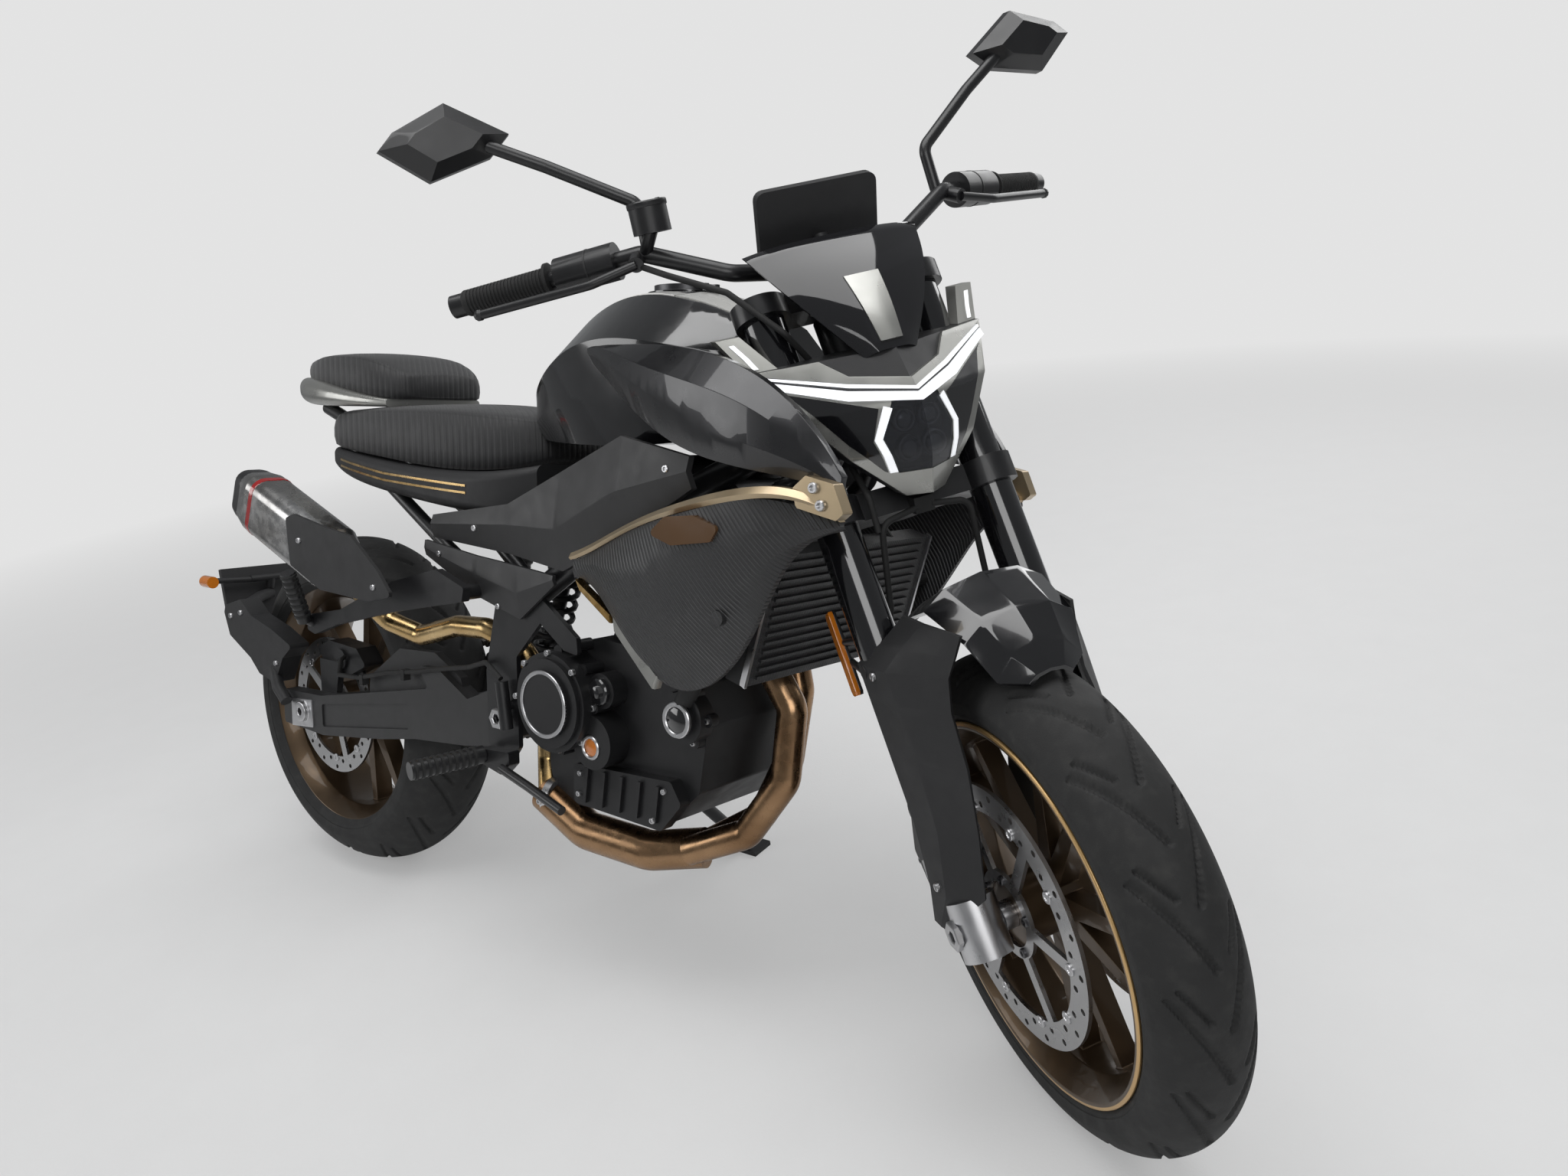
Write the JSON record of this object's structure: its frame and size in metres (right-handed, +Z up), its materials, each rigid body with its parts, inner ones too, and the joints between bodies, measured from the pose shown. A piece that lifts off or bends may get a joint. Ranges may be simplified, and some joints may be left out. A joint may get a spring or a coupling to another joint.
{
  "type": "standard motorcycle",
  "caption": "Roadster motorcycle with a parallel-twin engine, chain drive and upside-down fork, parked on its side stand with the bars turned to the right.",
  "frame": {"origin": "middle of the bounding box's underside, on the ground", "axes": "+X forward along the wheelbase, +Y to the rider's left, +Z up; the machine leans 14 degrees towards +Y on its side stand"},
  "size_m": [2.1327, 0.936, 1.3156],
  "materials": {
    "satin_black": "satin",
    "black_plastic": "fine grained",
    "gloss_black": "gloss",
    "gunmetal": "metallic satin",
    "champagne": "satin metallic",
    "bronze_wheel": "satin metallic",
    "engine_black": "satin",
    "aluminium": "machined",
    "heat_steel": "heat tinted",
    "steel": "brushed",
    "chain_steel": "oiled",
    "tyre": "matte",
    "rubber": "matte",
    "seat_cover": "grained vinyl",
    "red_lens": "clear red",
    "smoked": "smoked",
    "lens": "clear",
    "mirror": "gloss",
    "amber": "clear amber",
    "silver": "satin metallic"
  },
  "bodies": {
    "chassis": {"frame": "satin_black", "subframe": "satin_black", "crankcase": "engine_black", "cylinder_block": "engine_black", "engine_covers": "engine_black", "radiator": "satin_black", "coolant_hoses": "rubber", "shrouds": "black_plastic", "shroud_trims": "champagne", "fuel_tank": "satin_black", "tank_wings": "gloss_black", "side_panels": "gloss_black", "frame_covers": "black_plastic", "rider_seat": "seat_cover", "pillion_seat": "seat_cover", "seat_base": "black_plastic", "tail_cowl": "gunmetal", "tail_light": "red_lens", "headers": "heat_steel", "mid_pipe": "heat_steel", "silencer": "satin_black", "heat_shield": "satin_black", "swingarm": "satin_black", "rear_axle": "steel", "shock": "satin_black", "chain": "chain_steel", "plate_holder": "black_plastic", "footrests": "aluminium", "foot_controls": "aluminium", "rear_caliper": "satin_black", "rear_brake_hose": "rubber", "front_signals": "amber", "rear_signals": "amber"},
    "steering": {"yokes": "satin_black", "fork_tubes": "satin_black", "fork_feet": "aluminium", "mudguard": "gunmetal", "fork_guards": "black_plastic", "front_calipers": "satin_black", "handlebar": "satin_black", "grips": "rubber", "hand_controls": "black_plastic", "mirrors": "mirror", "display": "black_plastic", "flyscreen": "smoked", "headlight": "gloss_black", "headlight_frame": "silver", "headlight_lens": "lens", "brake_hoses": "rubber"},
    "front_wheel": {"front_tyre": "tyre", "front_rim": "bronze_wheel", "front_discs": "steel"},
    "rear_wheel": {"rear_tyre": "tyre", "rear_rim": "bronze_wheel", "rear_disc": "steel", "rear_sprocket": "aluminium"},
    "side_stand": {"side_stand": "satin_black"},
    "fuel_cap": {"fuel_cap": "satin_black"}
  },
  "joints": [
    {"name": "steering", "type": "hinge", "parent": "chassis", "child": "steering", "pos_m": [0.78316, -0.20139, 0.28853], "axis": [-0.4236, 0.2194, 0.8789], "range_deg": [0, 69.8]},
    {"name": "front_wheel_spin", "type": "hinge", "parent": "steering", "child": "front_wheel", "pos_m": [0.80098, -0.21271, 0.29995], "axis": [0.5189, 0.8541, 0.0369], "continuous": true},
    {"name": "rear_wheel_spin", "type": "hinge", "parent": "chassis", "child": "rear_wheel", "pos_m": [-0.66114, -0.19532, 0.30862], "axis": [0.0007, 0.9703, -0.2419], "continuous": true},
    {"name": "side_stand_fold", "type": "hinge", "parent": "chassis", "child": "side_stand", "pos_m": [-0.02091, -0.07279, 0.23152], "axis": [0.0683, 0.8512, 0.5203], "range_deg": [0, 92]},
    {"name": "fuel_cap_lid", "type": "hinge", "parent": "chassis", "child": "fuel_cap", "pos_m": [0.23778, -0.02053, 1.01232], "axis": [0.0007, 0.9703, -0.2419], "range_deg": [0, 95]}
  ]
}
